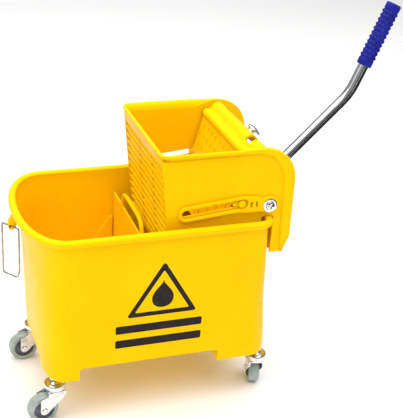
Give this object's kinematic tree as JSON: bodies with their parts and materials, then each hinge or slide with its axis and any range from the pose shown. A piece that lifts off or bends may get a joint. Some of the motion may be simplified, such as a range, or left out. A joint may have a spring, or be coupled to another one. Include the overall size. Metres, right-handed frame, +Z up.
{
  "type": "mop bucket with wringer",
  "caption": "Oblong plastic bucket on swivel castors with a lift-out divider, a hooked-on lever wringer with a sliding press, and a bent steel lever with a soft grip.",
  "frame": {"origin": "on the floor under the middle of the overall box", "axes": "+Z up, +X towards the lever, -X towards the pouring front, -Y is the left side"},
  "size_m": [0.6208, 0.2746, 0.677],
  "materials": {
    "yellow_plastic": "injection-moulded polypropylene, satin gloss",
    "grip_blue": "soft pimpled vinyl",
    "chrome": "bright chrome plate",
    "zinc_steel": "bright zinc plate",
    "plain_steel": "drawn steel",
    "tyre_grey": "non-marking grey rubber",
    "wheel_hub": "moulded dark grey nylon"
  },
  "bodies": {
    "bucket": {"bucket_body": "yellow_plastic", "front_left_castor_stem": "zinc_steel", "front_right_castor_stem": "zinc_steel", "rear_left_castor_stem": "zinc_steel", "rear_right_castor_stem": "zinc_steel"},
    "divider": {"divider_plate": "yellow_plastic"},
    "wire_loop": {"front_wire_loop": "zinc_steel"},
    "wringer": {"left_side_panel": "yellow_plastic", "right_side_panel": "yellow_plastic", "front_grate": "yellow_plastic", "drain_floor": "yellow_plastic", "rear_apron": "yellow_plastic", "left_guide_rail": "yellow_plastic", "right_guide_rail": "yellow_plastic", "left_torsion_spring": "plain_steel", "right_torsion_spring": "plain_steel"},
    "press": {"press_plate": "yellow_plastic", "press_hood": "yellow_plastic", "thrust_pin": "plain_steel", "return_pin": "plain_steel", "left_guide_shoe": "yellow_plastic", "right_guide_shoe": "yellow_plastic"},
    "lever": {"pivot_shaft": "plain_steel", "handle_yoke": "yellow_plastic", "handle_tube": "chrome", "handle_grip": "grip_blue", "spare_socket_cap": "chrome", "handle_bolt": "zinc_steel", "left_shaft_washer": "chrome", "right_shaft_washer": "chrome", "left_shaft_screw": "chrome", "right_shaft_screw": "chrome"},
    "front_left_castor_swivel": {"front_left_castor_fork": "zinc_steel", "front_left_castor_axle": "zinc_steel"},
    "front_left_castor_wheel": {"front_left_castor_tyre": "tyre_grey", "front_left_castor_hub": "wheel_hub"},
    "front_right_castor_swivel": {"front_right_castor_fork": "zinc_steel", "front_right_castor_axle": "zinc_steel"},
    "front_right_castor_wheel": {"front_right_castor_tyre": "tyre_grey", "front_right_castor_hub": "wheel_hub"},
    "rear_left_castor_swivel": {"rear_left_castor_fork": "zinc_steel", "rear_left_castor_axle": "zinc_steel"},
    "rear_left_castor_wheel": {"rear_left_castor_tyre": "tyre_grey", "rear_left_castor_hub": "wheel_hub"},
    "rear_right_castor_swivel": {"rear_right_castor_fork": "zinc_steel", "rear_right_castor_axle": "zinc_steel"},
    "rear_right_castor_wheel": {"rear_right_castor_tyre": "tyre_grey", "rear_right_castor_hub": "wheel_hub"}
  },
  "joints": [
    {"name": "wringer_lift", "type": "slide", "parent": "bucket", "child": "wringer", "axis": [0, 0, 1], "range_m": [0, 0.22]},
    {"name": "divider_lift", "type": "slide", "parent": "bucket", "child": "divider", "axis": [0, 0, 1], "range_m": [0, 0.2]},
    {"name": "wire_loop_swing", "type": "hinge", "parent": "bucket", "child": "wire_loop", "pos_m": [-0.29781, 0, 0.315], "axis": [-0.6112, 0.7915, 0], "range_deg": [0, 80]},
    {"name": "lever_swing", "type": "hinge", "parent": "wringer", "child": "lever", "pos_m": [0.09569, 0, 0.368], "axis": [0, 1, 0], "range_deg": [0, 50], "stiffness_Nm_per_rad": 2.5, "springref_deg": -51.57},
    {"name": "press_slide", "type": "slide", "parent": "wringer", "child": "press", "axis": [-0.9945, 0, -0.1045], "range_m": [0, 0.0437]},
    {"name": "front_left_castor_turn", "type": "hinge", "parent": "bucket", "child": "front_left_castor_swivel", "pos_m": [-0.24631, -0.093, 0.06], "axis": [0, 0, 1], "continuous": true},
    {"name": "front_left_castor_roll", "type": "hinge", "parent": "front_left_castor_swivel", "child": "front_left_castor_wheel", "pos_m": [-0.2671, -0.09592, 0.025], "axis": [-0.1392, 0.9903, 0], "continuous": true},
    {"name": "front_right_castor_turn", "type": "hinge", "parent": "bucket", "child": "front_right_castor_swivel", "pos_m": [-0.24631, 0.093, 0.06], "axis": [0, 0, 1], "continuous": true},
    {"name": "front_right_castor_roll", "type": "hinge", "parent": "front_right_castor_swivel", "child": "front_right_castor_wheel", "pos_m": [-0.26726, 0.09154, 0.025], "axis": [-0.0698, 0.9976, 0], "continuous": true},
    {"name": "rear_left_castor_turn", "type": "hinge", "parent": "bucket", "child": "rear_left_castor_swivel", "pos_m": [0.10769, -0.093, 0.06], "axis": [0, 0, 1], "continuous": true},
    {"name": "rear_left_castor_roll", "type": "hinge", "parent": "rear_left_castor_swivel", "child": "rear_left_castor_wheel", "pos_m": [0.11277, -0.07262, 0.025], "axis": [0.9703, -0.2419, 0], "continuous": true},
    {"name": "rear_right_castor_turn", "type": "hinge", "parent": "bucket", "child": "rear_right_castor_swivel", "pos_m": [0.10769, 0.093, 0.06], "axis": [0, 0, 1], "continuous": true},
    {"name": "rear_right_castor_roll", "type": "hinge", "parent": "rear_right_castor_swivel", "child": "rear_right_castor_wheel", "pos_m": [0.0916, 0.1065, 0.025], "axis": [0.6428, 0.766, 0], "continuous": true}
  ],
  "couplings": [
    {"joint": "press_slide", "follows": "lever_swing", "m_per_rad": 0.05}
  ]
}
